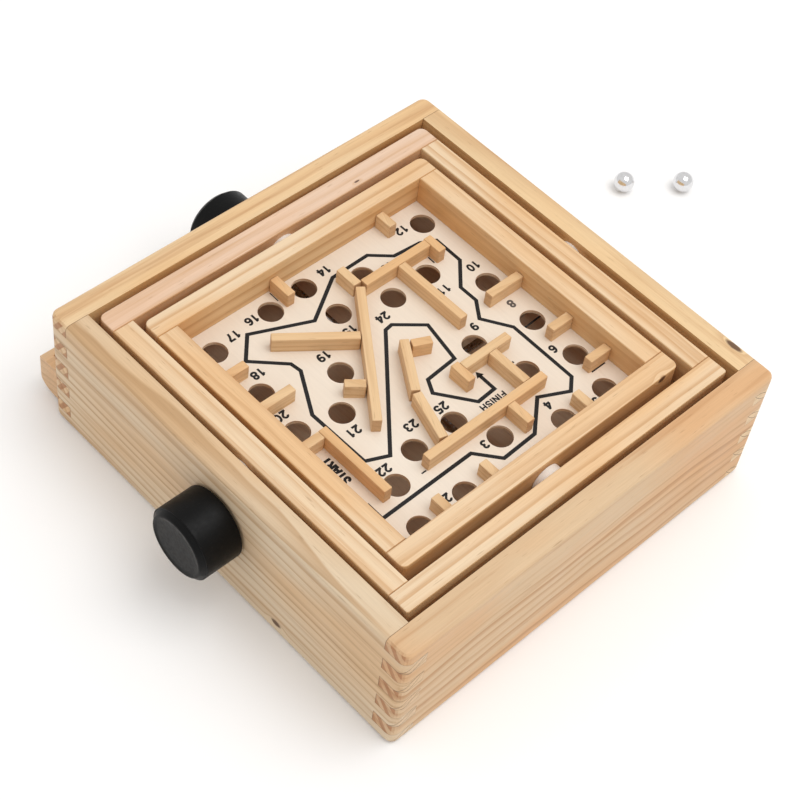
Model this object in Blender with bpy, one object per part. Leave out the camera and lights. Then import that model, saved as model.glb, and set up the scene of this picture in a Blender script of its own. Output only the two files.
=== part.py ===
"""Tilt maze game: a finger-jointed box, two nested tilt frames, the maze board, its knobs and balls.

Metres, +Z up. The player sits on the -Y side, so +X is the player's right. Sizes below are in
millimetres times MM. Everything is placed from the middle of the box, which stands at
(BOX_X, BOX_Y) so that the row's origin is the middle of the whole part's footprint.
"""
import math
import bpy
import bmesh
from mathutils import Matrix, Vector

MM = 0.001

# Row frame
BOX_X, BOX_Y = 43.7 * MM, 9.7 * MM

# Box
BOX = 195 * MM                  # outside length and width
BOX_H = 60 * MM
WALL = 10.4 * MM                # wall thickness
FINGERS = 10                    # finger-joint steps in the height
CORNER_R = 3.6 * MM             # rounded upright corners
EDGE_R = 2.0 * MM               # rounded top and bottom edges, outside
GLUE = 0.05 * MM                # half of a glued joint's gap

# Tilt frames
RAIL_TOP = 60 * MM
RAIL_H = 18 * MM
PIVOT_Z = 50 * MM
OUTER_HALF = (84.2 * MM, 84.2 * MM)     # half of the outside, along X and along Y
OUTER_RAIL = (9.3 * MM, 9.3 * MM)       # width of the side rails, and of the front and back rails
OUTER_X = 0.7 * MM                      # the frame's place within its end play
OUTER_CORNERS = {"front": 3.0 * MM, "back": 1.0 * MM}
INNER_HALF = (72.4 * MM, 71.0 * MM)
INNER_RAIL = (9.4 * MM, 8.8 * MM)
INNER_X, INNER_Y = 1.3 * MM, -0.5 * MM  # the inner pivots' place, and the frame's within its play
INNER_CORNERS = {"front": 3.0 * MM, "back": 2.5 * MM}
SOFT = 0.5 * MM                 # small rounding of rail and strip edges

# Maze board and strips
BOARD_TOP = 46.9 * MM
BOARD_T = 1.5 * MM
HOLE_D = 10.4 * MM
STRIP_W, STRIP_H = 3.8 * MM, 6.7 * MM

# Pivot studs
STUD_R = 1.5 * MM
COLLAR_R = 6.8 * MM
STUD_DEPTH = 6.0 * MM           # length of stud in each piece of wood
RUN = 0.08 * MM                 # radial clearance of what turns

# Knobs and shafts
SHAFT_R = 1.6 * MM
RIGHT_SHAFT_Y, RIGHT_SHAFT_Z = 1.3 * MM, 34.9 * MM      # shaft along X, tilts the outer frame
FRONT_SHAFT_Z = 31.3 * MM       # shaft along Y, tilts the inner frame
KNOB_R, KNOB_L = 15.2 * MM, 18.5 * MM
KNOB_GAP = 1.0 * MM
KNOB_CHAMFER = 2.0 * MM
SHAFT_IN_KNOB = 13.0 * MM
SHAFT_IN_WALL = 6.0 * MM

# Cords that tie the shafts to the frames
CORD_R = 0.35 * MM
CORD_TURNS, CORD_PITCH = 3, 0.95 * MM
RIGHT_CORD_X = 77.6 * MM        # under the outer frame's right rail
FRONT_CORD_Y = 10.0 * MM
EYE_R, EYE_WIRE_R = 1.6 * MM, 0.4 * MM
EYE_DROP = 2.3 * MM             # eye's centre below the rail
SPRING_R, SPRING_WIRE_R = 1.5 * MM, 0.22 * MM
SPRING_L, SPRING_TURNS = 12.0 * MM, 9

# Ball return
FLOOR_T = 2.5 * MM
FLOOR_LOW_Z = 6.5 * MM          # floor's top at the exit
FLOOR_SLOPE_X, FLOOR_SLOPE_Y = 0.021, 0.052
EXIT_X0, EXIT_X1 = 62 * MM, 84 * MM
EXIT_Z0, EXIT_Z1 = 5.0 * MM, 21 * MM
TRAY_X0, TRAY_X1 = 36.0 * MM, 93.5 * MM
TRAY_OUT = 13.9 * MM            # how far the tray stands out from the box
TRAY_Z0, TRAY_Z1 = 1.2 * MM, 18.5 * MM
TRAY_END = 4.0 * MM
TRAY_LIP = 3.4 * MM
TRAY_FLOOR_Z = 5.0 * MM

# Balls, lying loose on the table behind the box's left side
BALL_R = 4.7 * MM
BALLS = ((-177.7, -40.3), (-199.6, -23.4))

# Holes in the board, from its middle, in millimetres
HOLES = (
    (48.6, 56.6), (25.2, 56.2), (-3.0, 45.9), (-27.8, 55.7), (-51.2, 55.3),
    (-54.6, 36.4), (-33.6, 30.2), (-54.1, 13.4), (-27.0, 8.2), (-54.3, -11.6),
    (-38.3, -29.9), (-55.9, -51.2), (-17.1, -44.9), (5.4, -54.7), (3.6, -36.5),
    (23.6, -53.6), (53.6, -51.3), (53.0, -25.0), (22.8, -14.2), (54.4, -3.3),
    (35.5, 0.5), (42.5, 37.6), (26.3, 30.2), (-18.9, -29.3), (5.8, 30.3),
)

# Maze strips: name and the two ends of the middle line, in millimetres
STRIPS = (
    ("strip_left_back", (-62.85, 44.3), (-51.6, 44.3)),
    ("strip_left_middle", (-62.85, 24.0), (-51.7, 24.0)),
    ("strip_left_front", (-62.85, -3.4), (-45.2, -3.4)),
    ("strip_back_left", (-36.4, 62.05), (-36.4, 51.8)),
    ("strip_back_middle", (14.4, 62.05), (14.4, 52.7)),
    ("strip_back_right", (38.7, 62.05), (38.7, 52.6)),
    ("strip_right_back", (51.9, 6.7), (62.85, 6.7)),
    ("strip_right_middle", (45.3, -16.6), (62.85, -16.6)),
    ("strip_right_front", (51.5, -36.0), (62.85, -36.0)),
    ("strip_front_left", (-41.1, -62.05), (-41.1, -53.7)),
    ("strip_front_right", (15.3, -62.05), (15.3, -51.3)),
    ("strip_long_back", (-33.4, 38.4), (29.2, 38.4)),
    ("strip_long_back_stub", (-13.1, 40.4), (-13.1, 51.1)),
    ("strip_finish_left", (-25.8, 36.4), (-25.8, 18.0)),
    ("strip_finish_front", (-36.5, 16.0), (-11.7, 16.0)),
    ("strip_finish_end", (-9.7, 23.2), (-9.7, 13.2)),
    ("strip_slope_upper", (17.7, 35.9), (11.0, 14.5)),
    ("strip_slope_lower", (10.6, 13.5), (-3.2, -7.5)),
    ("strip_slope_stub", (-4.1, -4.3), (-11.6, -0.8)),
    ("strip_long_diagonal", (-8.3, -37.7), (31.7, 15.0)),
    ("strip_diagonal_stub", (22.8, -0.7), (29.2, -5.9)),
    ("strip_diagonal_branch", (8.4, -19.4), (35.8, -39.9)),
    ("strip_upright", (-29.3, -36.4), (-29.3, -1.0)),
    ("strip_low_cross", (-45.3, -38.4), (-10.7, -38.4)),
    ("strip_low_cross_end", (-47.3, -40.8), (-47.3, -31.6)),
    ("strip_low_stub", (-8.5, -39.4), (-8.5, -49.8)),
    ("strip_start_wall", (49.9, 40.4), (49.9, 4.7)),
)

ROUND = 48                      # segments of a shaft or bore
HOLE_ROUND = 32


# ---------------------------------------------------------------- scene and materials

for old in list(bpy.data.objects):
    bpy.data.objects.remove(old, do_unlink=True)


def collection(name):
    group = bpy.data.collections.new(name)
    bpy.context.scene.collection.children.link(group)
    return group


PARTS = collection("parts")
CUTTERS = collection("cutters")


def material(name, colour, roughness, metallic=0.0):
    mat = bpy.data.materials.new(name)
    mat.use_nodes = True
    shader = mat.node_tree.nodes["Principled BSDF"]
    shader.inputs["Base Color"].default_value = (*colour, 1.0)
    shader.inputs["Roughness"].default_value = roughness
    shader.inputs["Metallic"].default_value = metallic
    mat.diffuse_color = (*colour, 1.0)
    return mat


MATS = {
    "box_wood": material("box_wood", (0.74, 0.56, 0.36), 0.55),
    "frame_wood": material("frame_wood", (0.78, 0.60, 0.42), 0.55),
    "strip_wood": material("strip_wood", (0.80, 0.62, 0.40), 0.60),
    "board_face": material("board_face", (0.80, 0.74, 0.66), 0.45),
    "floor_wood": material("floor_wood", (0.60, 0.42, 0.26), 0.60),
    "black_plastic": material("black_plastic", (0.02, 0.02, 0.02), 0.35),
    "white_nylon": material("white_nylon", (0.85, 0.84, 0.80), 0.40),
    "steel": material("steel", (0.70, 0.70, 0.72), 0.20, 1.0),
    "ball_steel": material("ball_steel", (0.80, 0.80, 0.82), 0.08, 1.0),
    "cord": material("cord", (0.05, 0.05, 0.05), 0.80),
    "brass": material("brass", (0.75, 0.58, 0.28), 0.30, 1.0),
}


# ---------------------------------------------------------------- shapes

def mesh_object(name, bm, group):
    bmesh.ops.recalc_face_normals(bm, faces=bm.faces)
    mesh = bpy.data.meshes.new(name)
    bm.to_mesh(mesh)
    bm.free()
    obj = bpy.data.objects.new(name, mesh)
    group.objects.link(obj)
    return obj


def prism(name, outline, low, high, axis="Z", group=None):
    """A straight prism. The outline is in the two axes other than `axis`, in X, Y, Z order."""
    bm = bmesh.new()
    k = "XYZ".index(axis)

    def point(p, h):
        c = list(p)
        c.insert(k, h)
        return Vector(c)

    ends = [[bm.verts.new(point(p, h)) for p in outline] for h in (low, high)]
    bm.faces.new(ends[0])
    bm.faces.new(ends[1])
    count = len(outline)
    for i in range(count):
        j = (i + 1) % count
        bm.faces.new((ends[0][i], ends[0][j], ends[1][j], ends[1][i]))
    return mesh_object(name, bm, group or PARTS)


def block(name, low, high, group=None):
    (x0, y0, z0), (x1, y1, z1) = low, high
    return prism(name, ((x0, y0), (x1, y0), (x1, y1), (x0, y1)), z0, z1, "Z", group)


def lathe(name, profile, axis, centre, group=None, count=ROUND):
    """Turns (distance along the axis, radius) pairs about an axis line through `centre`."""
    bm = bmesh.new()
    k = "XYZ".index(axis)
    u, v = [i for i in range(3) if i != k]
    rings = []
    for along, radius in profile:
        ring = []
        for i in range(1 if radius == 0 else count):
            a = 2 * math.pi * i / count
            p = Vector(centre)
            p[k] += along
            p[u] += radius * math.cos(a)
            p[v] += radius * math.sin(a)
            ring.append(bm.verts.new(p))
        rings.append(ring)
    for near, far in zip(rings, rings[1:]):
        for i in range(count):
            j = (i + 1) % count
            if len(near) == 1:
                bm.faces.new((near[0], far[i], far[j]))
            elif len(far) == 1:
                bm.faces.new((near[i], near[j], far[0]))
            else:
                bm.faces.new((near[i], near[j], far[j], far[i]))
    for end in (rings[0], rings[-1]):
        if len(end) > 1:
            bm.faces.new(end)
    return mesh_object(name, bm, group or PARTS)


def rod(name, axis, centre, low, high, radius, group=None, count=ROUND):
    """A plain cylinder from `low` to `high` on the axis, with `centre` fixing the other two."""
    return lathe(name, ((low, radius), (high, radius)), axis, centre, group, count)


def tube(name, path, radius, sides=6):
    """A wire of round section along a list of points, closed at both ends."""
    bm = bmesh.new()
    rings = []
    side = None
    for i, p in enumerate(path):
        ahead = path[min(i + 1, len(path) - 1)] - path[max(i - 1, 0)]
        ahead.normalize()
        side = side or ahead.orthogonal()
        side = (side - ahead * side.dot(ahead)).normalized()
        up = ahead.cross(side)
        rings.append([bm.verts.new(p + radius * (math.cos(a) * side + math.sin(a) * up))
                      for a in (2 * math.pi * n / sides for n in range(sides))])
    for near, far in zip(rings, rings[1:]):
        for n in range(sides):
            m = (n + 1) % sides
            bm.faces.new((near[n], near[m], far[m], far[n]))
    bm.faces.new(rings[0])
    bm.faces.new(rings[-1])
    return mesh_object(name, bm, PARTS)


def cut(obj, cutter, operation="DIFFERENCE"):
    if cutter.name not in CUTTERS.objects:
        for group in list(cutter.users_collection):
            group.objects.unlink(cutter)
        CUTTERS.objects.link(cutter)
    cutter.hide_render = True
    cutter.display_type = "WIRE"
    mod = obj.modifiers.new("cut_" + cutter.name, "BOOLEAN")
    mod.operation = operation
    mod.solver = "EXACT"
    mod.object = cutter


def bevel_edges(obj, pick, radius, segments):
    """Rounds the edges of the mesh for which pick(start, end) is true."""
    bm = bmesh.new()
    bm.from_mesh(obj.data)
    edges = [e for e in bm.edges if pick(e.verts[0].co, e.verts[1].co)]
    bmesh.ops.bevel(bm, geom=edges, offset=radius, segments=segments, profile=0.5,
                    affect="EDGES", clamp_overlap=True)
    bm.to_mesh(obj.data)
    bm.free()


def smooth(obj, angle=35):
    """Smooth shading on round faces, with edges sharper than the angle kept sharp."""
    bm = bmesh.new()
    bm.from_mesh(obj.data)
    for face in bm.faces:
        face.smooth = True
    for edge in bm.edges:
        if len(edge.link_faces) == 2 and edge.calc_face_angle() > math.radians(angle):
            edge.smooth = False
    bm.to_mesh(obj.data)
    bm.free()


# ---------------------------------------------------------------- placing

def axis_empty(name, location, parent=None):
    empty = bpy.data.objects.new(name, None)
    empty.empty_display_size = 0.01
    PARTS.objects.link(empty)
    empty.parent = parent
    empty.location = location
    return empty


BOX_MIDDLE = axis_empty("box_middle", (BOX_X, BOX_Y, 0))
OUTER_AXIS = axis_empty("outer_tilt_axis", (OUTER_X, 0, PIVOT_Z), BOX_MIDDLE)
INNER_AXIS = axis_empty("inner_tilt_axis", (INNER_X - OUTER_X, INNER_Y, 0), OUTER_AXIS)
RIGHT_AXIS = axis_empty("right_shaft_axis", (0, RIGHT_SHAFT_Y, RIGHT_SHAFT_Z), BOX_MIDDLE)
FRONT_AXIS = axis_empty("front_shaft_axis", (0, 0, FRONT_SHAFT_Z), BOX_MIDDLE)
HEIGHT = {BOX_MIDDLE: 0, OUTER_AXIS: PIVOT_Z, INNER_AXIS: PIVOT_Z,
          RIGHT_AXIS: RIGHT_SHAFT_Z, FRONT_AXIS: FRONT_SHAFT_Z}


def fix(obj, empty, mat=None):
    """Hangs a piece on its axis. It is built about the axis's own X and Y, at its height in Z."""
    obj.data.transform(Matrix.Translation((0, 0, -HEIGHT[empty])))
    obj.parent = empty
    if mat:
        obj.data.materials.append(MATS[mat])
    return obj


def bore(obj, empty, name, axis, centre, low, high, radius):
    cut(obj, fix(rod(name, axis, centre, low, high, radius), empty))


# ---------------------------------------------------------------- box

def finger_plate(name, along, side, owns_top):
    """A wall before rounding: a plate whose ends are notched where the next wall's fingers go."""
    half = BOX / 2
    step = BOX_H / FINGERS
    inner = half - WALL - GLUE
    outline = []
    for n in range(FINGERS):
        owned = (FINGERS - 1 - n) % 2 == (0 if owns_top else 1)
        reach = half + 1 * MM if owned else inner
        z0, z1 = n * step, (n + 1) * step
        if owned:
            z0, z1 = z0 + (GLUE if n else -1 * MM), z1 - (GLUE if n < FINGERS - 1 else -1 * MM)
        else:
            z0, z1 = z0 - (GLUE if n else 1 * MM), z1 + (GLUE if n < FINGERS - 1 else 1 * MM)
        outline += [(reach, z0), (reach, z1)]
    outline += [(-x, z) for x, z in reversed(outline)]
    low, high = half - WALL, half + 1 * MM
    if side < 0:
        low, high = -high, -low
    return prism(name, outline, low, high, "Y" if along == "X" else "X")


def rounded_box(name):
    """The outside of the box, with every outer edge rounded."""
    half = BOX / 2
    body = block(name, (-half, -half, 0), (half, half, BOX_H))
    upright = 0.9 * BOX_H
    bevel_edges(body, lambda a, b: abs(a.z - b.z) > upright, CORNER_R, 5)
    bevel_edges(body, lambda a, b: abs(a.z - b.z) < 1e-6, EDGE_R, 3)
    return body


def wall(name, along, side):
    body = fix(finger_plate(name, along, side, along == "X"), BOX_MIDDLE, "box_wood")
    cut(body, fix(rounded_box(name + "_outside"), BOX_MIDDLE), "INTERSECT")
    return body


IN = BOX / 2 - WALL             # inner face of the walls
right_wall = wall("right_wall", "Y", 1)
left_wall = wall("left_wall", "Y", -1)
back_wall = wall("back_wall", "X", 1)
front_wall = wall("front_wall", "X", -1)

for body, side in ((right_wall, 1), (left_wall, -1)):
    bore(body, BOX_MIDDLE, body.name + "_stud_hole", "X", (0, 0, PIVOT_Z),
         *sorted((side * (IN - 1 * MM), side * (IN + STUD_DEPTH + 0.3 * MM))), STUD_R + GLUE)
bore(right_wall, BOX_MIDDLE, "right_shaft_hole", "X", (0, RIGHT_SHAFT_Y, RIGHT_SHAFT_Z),
     IN - 2 * MM, BOX / 2 + 2 * MM, SHAFT_R + RUN)
bore(left_wall, BOX_MIDDLE, "right_shaft_far_hole", "X", (0, RIGHT_SHAFT_Y, RIGHT_SHAFT_Z),
     -IN - SHAFT_IN_WALL - 0.3 * MM, -IN + 2 * MM, SHAFT_R + RUN)
bore(front_wall, BOX_MIDDLE, "front_shaft_hole", "Y", (0, 0, FRONT_SHAFT_Z),
     -BOX / 2 - 2 * MM, -IN + 2 * MM, SHAFT_R + RUN)
bore(back_wall, BOX_MIDDLE, "front_shaft_far_hole", "Y", (0, 0, FRONT_SHAFT_Z),
     IN - 2 * MM, IN + SHAFT_IN_WALL + 0.3 * MM, SHAFT_R + RUN)
cut(front_wall, fix(block("exit_hole", (EXIT_X0, -BOX / 2 - 2 * MM, EXIT_Z0),
                          (EXIT_X1, -IN + 2 * MM, EXIT_Z1)), BOX_MIDDLE))


# ---------------------------------------------------------------- ball return

def catch_floor():
    """A sheet that slopes down from the back left to the exit at the front right."""
    edge = IN - 2 * GLUE
    bm = bmesh.new()

    def height(x, y):
        return FLOOR_LOW_Z + FLOOR_SLOPE_X * (IN - x) + FLOOR_SLOPE_Y * (y + IN)

    corners = ((-edge, -edge), (edge, -edge), (edge, edge), (-edge, edge))
    top = [bm.verts.new((x, y, height(x, y))) for x, y in corners]
    low = [bm.verts.new((x, y, height(x, y) - FLOOR_T)) for x, y in corners]
    bm.faces.new(top)
    bm.faces.new(low)
    for i in range(4):
        j = (i + 1) % 4
        bm.faces.new((low[i], low[j], top[j], top[i]))
    return mesh_object("catch_floor", bm, PARTS)


def catch_tray():
    """A milled trough outside the exit: round-bottomed channel, rounded outer lower edge."""
    face = -BOX / 2 - GLUE
    out = -BOX / 2 - TRAY_OUT
    nose = 8.5 * MM
    outline = [(face, TRAY_Z1), (face, TRAY_Z0)]
    for n in range(9):
        a = math.radians(90 * n / 8)
        outline.append((out + nose * (1 - math.sin(a)), TRAY_Z0 + 0.62 * nose * (1 - math.cos(a))))
    outline.append((out, TRAY_Z1))
    body = prism("catch_tray", outline, TRAY_X0, TRAY_X1, "X")
    bevel_edges(body, lambda a, b: min(a.z, b.z) > TRAY_Z1 - 1e-6 and max(a.y, b.y) < out + 1e-6,
                0.8 * MM, 3)
    r = 4.8 * MM
    lip = out + TRAY_LIP
    channel = [(face + 1 * MM, TRAY_Z1 + 1 * MM), (face + 1 * MM, TRAY_FLOOR_Z)]
    for n in range(7):
        a = math.radians(90 * n / 6)
        channel.append((lip + r * (1 - math.sin(a)), TRAY_FLOOR_Z + r * (1 - math.cos(a))))
    channel.append((lip, TRAY_Z1 + 1 * MM))
    cutter = prism("tray_channel", channel, TRAY_X0 + TRAY_END, TRAY_X1 - TRAY_END, "X")
    return body, cutter


fix(catch_floor(), BOX_MIDDLE, "floor_wood")
tray, tray_channel = catch_tray()
fix(tray, BOX_MIDDLE, "box_wood")
cut(tray, fix(tray_channel, BOX_MIDDLE))


# ---------------------------------------------------------------- tilt frames

def rails(label, half, width, corners, empty):
    """Four rails: front and back run the full length, left and right butt between them."""
    made = {}
    z0, z1 = RAIL_TOP - RAIL_H, RAIL_TOP
    half_x, half_y = half
    for name, side in (("front", -1), ("back", 1)):
        y0, y1 = sorted((side * (half_y - width[1]), side * half_y))
        rail = block(f"{label}_{name}_rail", (-half_x, y0, z0), (half_x, y1, z1))
        bevel_edges(rail, lambda a, b: abs(a.z - b.z) > 0.9 * RAIL_H
                    and side * a.y > half_y - 1e-6, corners[name], 4)
        made[name] = rail
    inner = half_y - width[1] - 2 * GLUE
    for name, side in (("left", -1), ("right", 1)):
        x0, x1 = sorted((side * (half_x - width[0]), side * half_x))
        made[name] = block(f"{label}_{name}_rail", (x0, -inner, z0), (x1, inner, z1))
    for rail in made.values():
        bevel_edges(rail, lambda a, b: abs(a.z - b.z) < 1e-6, SOFT, 2)
        fix(rail, empty, "frame_wood")
    return made


outer = rails("outer_frame", OUTER_HALF, OUTER_RAIL, OUTER_CORNERS, OUTER_AXIS)
inner = rails("inner_frame", INNER_HALF, INNER_RAIL, INNER_CORNERS, INNER_AXIS)


def stud(name, axis, side, low, high, empty, x=0):
    """A nylon stud along an axis: a pin in each piece of wood and a collar in the gap."""
    gap0, gap1 = low + STUD_DEPTH, high - STUD_DEPTH
    profile = [(low, STUD_R), (gap0, STUD_R), (gap0, COLLAR_R), (gap1, COLLAR_R),
               (gap1, STUD_R), (high, STUD_R)]
    profile = [(side * a, r) for a, r in profile]
    body = lathe(name, profile, axis, (x, 0, PIVOT_Z))
    smooth(body)
    return fix(body, empty, "white_nylon")


PLAY = 0.2 * MM                 # end play of each collar
OUTER_X_HALF, INNER_Y_HALF = OUTER_HALF[0], INNER_HALF[1]
for name, side in (("left", -1), ("right", 1)):
    stud(f"outer_pivot_{name}", "X", side, OUTER_X_HALF + side * OUTER_X + PLAY - STUD_DEPTH,
         IN - GLUE + STUD_DEPTH, BOX_MIDDLE)
    bore(outer[name], OUTER_AXIS, f"outer_{name}_bore", "X", (0, 0, PIVOT_Z),
         *sorted((side * (OUTER_X_HALF - STUD_DEPTH - 0.1 * MM), side * (OUTER_X_HALF + 1 * MM))),
         STUD_R + RUN)
for name, side in (("front", -1), ("back", 1)):
    near, far = INNER_Y_HALF + side * INNER_Y + PLAY, OUTER_HALF[1] - OUTER_RAIL[1] - GLUE
    pivot_x = INNER_X - OUTER_X
    stud(f"inner_pivot_{name}", "Y", side, near - STUD_DEPTH, far + STUD_DEPTH, OUTER_AXIS, pivot_x)
    bore(inner[name], INNER_AXIS, f"inner_{name}_bore", "Y", (0, 0, PIVOT_Z),
         *sorted((side * (INNER_Y_HALF - STUD_DEPTH - 0.1 * MM), side * (INNER_Y_HALF + 1 * MM))),
         STUD_R + RUN)
    bore(outer[name], OUTER_AXIS, f"outer_{name}_stud_hole", "Y", (pivot_x, 0, PIVOT_Z),
         *sorted((side * (far - 1 * MM), side * (far + STUD_DEPTH + 0.3 * MM))), STUD_R + GLUE)


# ---------------------------------------------------------------- board and strips

BOARD_X, BOARD_Y = (half - rail - 2 * GLUE for half, rail in zip(INNER_HALF, INNER_RAIL))
board = block("maze_board", (-BOARD_X, -BOARD_Y, BOARD_TOP - BOARD_T), (BOARD_X, BOARD_Y, BOARD_TOP))
fix(board, INNER_AXIS, "board_face")


def hole_cutters():
    """All the board's holes as one cutter of separate cylinders."""
    bm = bmesh.new()
    for x, y in HOLES:
        ends = []
        for z in (BOARD_TOP - BOARD_T - 2 * MM, BOARD_TOP + 2 * MM):
            ends.append([bm.verts.new((x * MM + HOLE_D / 2 * math.cos(a),
                                       y * MM + HOLE_D / 2 * math.sin(a), z))
                         for a in (2 * math.pi * n / HOLE_ROUND for n in range(HOLE_ROUND))])
        bm.faces.new(ends[0])
        bm.faces.new(ends[1])
        for n in range(HOLE_ROUND):
            m = (n + 1) % HOLE_ROUND
            bm.faces.new((ends[0][n], ends[0][m], ends[1][m], ends[1][n]))
    return mesh_object("board_holes", bm, CUTTERS)


cut(board, fix(hole_cutters(), INNER_AXIS))


def strip(name, start, end):
    """A glued maze strip along its middle line."""
    a, b = Vector(start) * MM, Vector(end) * MM
    ahead = (b - a).normalized()
    side = Vector((-ahead.y, ahead.x)) * STRIP_W / 2
    z0 = BOARD_TOP + GLUE
    body = prism(name, (a - side, b - side, b + side, a + side), z0, z0 + STRIP_H)
    bevel_edges(body, lambda p, q: min(p.z, q.z) > z0 + 1 * MM or abs(p.z - q.z) > 1 * MM,
                0.35 * MM, 2)
    return fix(body, INNER_AXIS, "strip_wood")


for entry in STRIPS:
    strip(*entry)


# ---------------------------------------------------------------- knobs and shafts

def knob(name, axis, centre, face, side, empty):
    """A cylindrical knob with a chamfered outer end and a blind bore for its shaft."""
    depth = SHAFT_IN_KNOB + 0.3 * MM
    soft = 0.8 * MM
    bore_r = SHAFT_R + GLUE
    profile = [(depth, 0), (depth, bore_r), (0, bore_r), (0, KNOB_R - soft)]
    for n in range(1, 4):
        a = math.radians(30 * n)
        profile.append((soft * (1 - math.cos(a)), KNOB_R - soft * (1 - math.sin(a))))
    profile += [(KNOB_L - KNOB_CHAMFER, KNOB_R), (KNOB_L - KNOB_CHAMFER, KNOB_R - 0.5 * MM),
                (KNOB_L - 0.4 * MM, KNOB_R - KNOB_CHAMFER), (KNOB_L, KNOB_R - KNOB_CHAMFER - 0.6 * MM),
                (KNOB_L, 0)]
    profile = [(side * (face + a), r) for a, r in profile]
    body = lathe(name, profile, axis, centre, count=64)
    smooth(body, 25)
    return fix(body, empty, "black_plastic")


def shaft(name, axis, centre, side, empty):
    end = BOX / 2 + KNOB_GAP + SHAFT_IN_KNOB
    tip = 0.4 * MM
    profile = [(-(IN + SHAFT_IN_WALL), SHAFT_R - tip), (-(IN + SHAFT_IN_WALL) + tip, SHAFT_R),
               (end - tip, SHAFT_R), (end, SHAFT_R - tip)]
    profile = [(side * a, r) for a, r in profile]
    body = lathe(name, profile, axis, centre)
    smooth(body)
    return fix(body, empty, "steel")


KNOB_FACE = BOX / 2 + KNOB_GAP
knob("right_knob", "X", (0, 0, RIGHT_SHAFT_Z), KNOB_FACE, 1, RIGHT_AXIS)
shaft("right_shaft", "X", (0, 0, RIGHT_SHAFT_Z), 1, RIGHT_AXIS)
knob("front_knob", "Y", (0, 0, FRONT_SHAFT_Z), KNOB_FACE, -1, FRONT_AXIS)
shaft("front_shaft", "Y", (0, 0, FRONT_SHAFT_Z), -1, FRONT_AXIS)


# ---------------------------------------------------------------- cords, springs and eyes

def cord_path(half, shaft_at, shaft_z, eye_z, offset, spring_gap):
    """From an eye to the shaft, round it, and on to the spring: (along, across, height)."""
    r = SHAFT_R + CORD_R + 0.15 * MM
    path = [(-half, offset, eye_z), (-half / 2, offset, (eye_z + shaft_z + r) / 2)]
    steps = 12 * CORD_TURNS
    for n in range(steps + 1):
        a = 2 * math.pi * n / 12
        path.append((shaft_at + r * math.sin(a), offset + CORD_PITCH * n / 12,
                     shaft_z + r * math.cos(a)))
    far = offset + CORD_PITCH * CORD_TURNS
    path.append((half - spring_gap, far, eye_z - 0.25 * MM))
    return path


def spring_path(start, length, across, height):
    """A close coil along the cord's line, with a straight tail at each end."""
    tail = 1.2 * MM
    path = [(start, across, height)]
    steps = 10 * SPRING_TURNS
    for n in range(steps + 1):
        a = 2 * math.pi * n / 10
        path.append((start + tail + (length - 2 * tail) * n / steps,
                     across + SPRING_R * math.cos(a), height + SPRING_R * math.sin(a)))
    path.append((start + length, across, height))
    return path


def eye_path(along, across, ring_z, rail_z):
    """A screw eye: a shank that goes up into the rail and an open ring across the cord."""
    path = [(along, across, rail_z + 4 * MM), (along, across, ring_z + EYE_R + 0.1 * MM)]
    for n in range(1, 11):
        a = math.radians(30 * n)
        path.append((along, across + EYE_R * math.sin(a), ring_z + EYE_R * math.cos(a)))
    return path


RAIL_LOW = RAIL_TOP - RAIL_H
EYE_Z = RAIL_LOW - EYE_DROP


def drive_cord(label, axis, half, shaft_at, shaft_z, offset, empty, rail_names, frame_rails):
    """A frame's drive: two eyes under its rails, a cord round the shaft and a spring."""
    def to_box(p):
        along, across, height = p
        return Vector((across, along, height)) if axis == "X" else Vector((along, across, height))

    far = offset + CORD_PITCH * CORD_TURNS
    gap = SPRING_L + 0.6 * MM
    path = cord_path(half, shaft_at, shaft_z, EYE_Z, offset, gap)
    fix(tube(f"{label}_cord", [to_box(p) for p in path], CORD_R), empty, "cord")
    path = spring_path(half - SPRING_L, SPRING_L, far, EYE_Z)
    fix(tube(f"{label}_spring", [to_box(p) for p in path], SPRING_WIRE_R, 5), empty, "steel")
    for side, across, rail_name in ((-1, offset, rail_names[0]), (1, far, rail_names[1])):
        path = [to_box(p) for p in eye_path(side * half, across, EYE_Z, RAIL_LOW)]
        eye = fix(tube(f"{label}_eye_{rail_name}", path, EYE_WIRE_R), empty, "brass")
        smooth(eye)
        at = to_box((side * half, across, 0))
        bore(frame_rails[rail_name], empty, f"{label}_{rail_name}_eye_hole", "Z", (at.x, at.y, 0),
             RAIL_LOW - 1 * MM, RAIL_LOW + 4.4 * MM, EYE_WIRE_R + 0.1 * MM)


drive_cord("outer", "X", OUTER_HALF[1] - OUTER_RAIL[1] / 2, RIGHT_SHAFT_Y, RIGHT_SHAFT_Z,
           RIGHT_CORD_X, OUTER_AXIS, ("front", "back"), outer)
drive_cord("inner", "Y", INNER_HALF[0] - INNER_RAIL[0] / 2, -INNER_X, FRONT_SHAFT_Z, FRONT_CORD_Y,
           INNER_AXIS, ("left", "right"), inner)


# ---------------------------------------------------------------- balls

def ball(name, x, y):
    """A steel ball, built round its own middle and resting on the table."""
    count = 16
    profile = [(BALL_R * -math.cos(math.pi * n / count), BALL_R * math.sin(math.pi * n / count))
               for n in range(count + 1)]
    profile[0] = (-BALL_R, 0)
    profile[-1] = (BALL_R, 0)
    body = lathe(name, profile, "Z", (0, 0, 0), count=32)
    smooth(body, 60)
    body.parent = axis_empty(name + "_middle", (x * MM, y * MM, BALL_R), BOX_MIDDLE)
    body.data.materials.append(MATS["ball_steel"])
    return body


for number, (x, y) in enumerate(BALLS, 1):
    ball(f"ball_{number}", x, y)
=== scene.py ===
"""Looks of the tilt maze game: pine grain on every member, the printed board, knobs, cords and balls."""
import math
import random
import bpy
import bmesh
from mathutils import Matrix, Vector


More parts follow.
